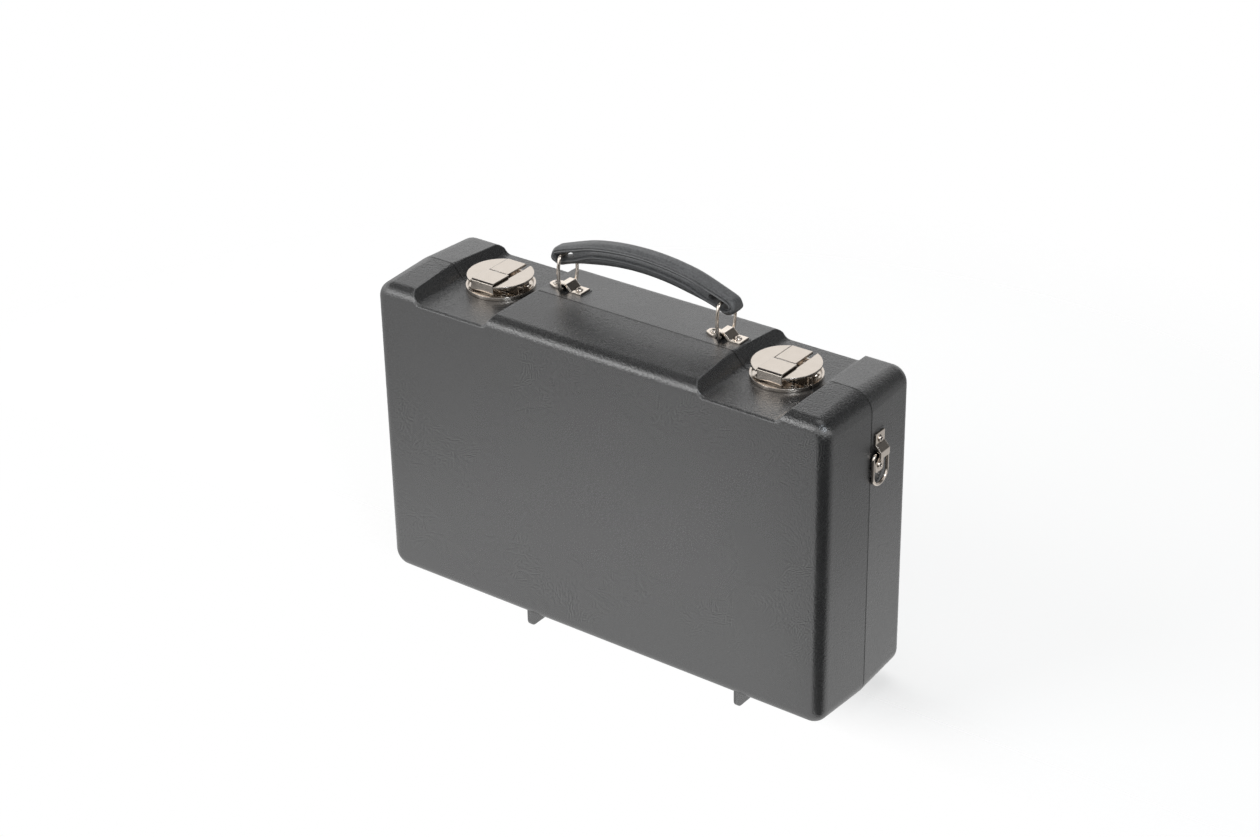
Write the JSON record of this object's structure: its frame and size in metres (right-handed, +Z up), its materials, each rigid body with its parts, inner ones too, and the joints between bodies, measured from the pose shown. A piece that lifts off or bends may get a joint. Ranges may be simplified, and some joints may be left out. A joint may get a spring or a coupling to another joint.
{
  "type": "carrying case",
  "caption": "Moulded hard-shell carrying case with hinged lid, round draw latches, a padded handle on wire rings and strap rings on the ends.",
  "frame": {"origin": "middle of the case's footprint, on the surface that its standing ribs rest on", "axes": "+X along the case's length, +Y from the lid towards the body, +Z up through the handle"},
  "size_m": [0.3596, 0.095, 0.2685],
  "materials": {
    "shell": "fine moulded grain, satin",
    "lining": "short pile over foam",
    "grip": "grained padded cover",
    "core": "plain",
    "nickel": "bright nickel plate",
    "rivet": "bright nickel plate",
    "wire": "bright nickel plate",
    "hinge": "nickel plate, satin"
  },
  "bodies": {
    "case_body": {"body_shell": "shell", "body_lining": "lining", "handle_bracket_left": "nickel", "handle_bracket_right": "nickel", "handle_rivets": "rivet", "strap_bracket_left": "nickel", "strap_bracket_right": "nickel", "strap_rivets": "rivet", "latch_base_left": "nickel", "latch_base_right": "nickel", "latch_rivets": "rivet", "latch_pivot_left": "nickel", "latch_pivot_right": "nickel", "hinge_leaf_body_left": "hinge", "hinge_leaf_body_right": "hinge", "hinge_body_rivets": "rivet", "hinge_pin_left": "hinge", "hinge_pin_right": "hinge"},
    "lid": {"lid_shell": "shell", "lid_lining": "lining", "latch_strike_left": "nickel", "latch_strike_right": "nickel", "strike_rivets": "rivet", "hinge_leaf_lid_left": "hinge", "hinge_leaf_lid_right": "hinge", "hinge_lid_rivets": "rivet"},
    "lever_left": {"latch_lever_left": "nickel", "latch_link_pin_left": "nickel"},
    "lever_right": {"latch_lever_right": "nickel", "latch_link_pin_right": "nickel"},
    "hook_left": {"latch_hook_left": "nickel"},
    "hook_right": {"latch_hook_right": "nickel"},
    "ring_left": {"handle_ring_left": "wire"},
    "ring_right": {"handle_ring_right": "wire"},
    "handle": {"handle_core": "core", "handle_grip": "grip"},
    "strap_left": {"strap_ring_left": "wire"},
    "strap_right": {"strap_ring_right": "wire"}
  },
  "joints": [
    {"name": "lid_hinge", "type": "hinge", "parent": "case_body", "child": "lid", "pos_m": [0, -0.0015, 0.0066], "axis": [1, 0, 0], "range_deg": [0, 110]},
    {"name": "lever_left_lift", "type": "hinge", "parent": "case_body", "child": "lever_left", "pos_m": [-0.1105, 0.0031, 0.2216], "axis": [1, 0, 0], "range_deg": [0, 85]},
    {"name": "hook_left_swing", "type": "hinge", "parent": "lever_left", "child": "hook_left", "pos_m": [-0.1105, 0.0097, 0.2212], "axis": [1, 0, 0], "range_deg": [-85, 0]},
    {"name": "lever_right_lift", "type": "hinge", "parent": "case_body", "child": "lever_right", "pos_m": [0.1105, 0.0031, 0.2216], "axis": [1, 0, 0], "range_deg": [0, 85]},
    {"name": "hook_right_swing", "type": "hinge", "parent": "lever_right", "child": "hook_right", "pos_m": [0.1105, 0.0097, 0.2212], "axis": [1, 0, 0], "range_deg": [-85, 0]},
    {"name": "handle_ring_left_swing", "type": "hinge", "parent": "case_body", "child": "ring_left", "pos_m": [-0.061, 0.0125, 0.2276], "axis": [0, 1, 0], "range_deg": [-55, 55]},
    {"name": "handle_ring_right_swing", "type": "hinge", "parent": "case_body", "child": "ring_right", "pos_m": [0.061, 0.0125, 0.2276], "axis": [0, 1, 0], "range_deg": [-55, 55]},
    {"name": "handle_sway", "type": "hinge", "parent": "ring_left", "child": "handle", "pos_m": [-0.061, 0.0125, 0.2512], "axis": [0, 1, 0], "range_deg": [-55, 55]},
    {"name": "strap_ring_left_swing", "type": "hinge", "parent": "case_body", "child": "strap_left", "pos_m": [-0.17625, 0.0075, 0.184], "axis": [0, 1, 0], "range_deg": [0, 165]},
    {"name": "strap_ring_right_swing", "type": "hinge", "parent": "case_body", "child": "strap_right", "pos_m": [0.17625, 0.0075, 0.184], "axis": [0, -1, 0], "range_deg": [0, 165]}
  ],
  "couplings": [
    {"joint": "hook_left_swing", "follows": "lever_left_lift", "ratio": -1},
    {"joint": "hook_right_swing", "follows": "lever_right_lift", "ratio": -1},
    {"joint": "handle_ring_right_swing", "follows": "handle_ring_left_swing", "ratio": 1},
    {"joint": "handle_sway", "follows": "handle_ring_left_swing", "ratio": -1}
  ]
}
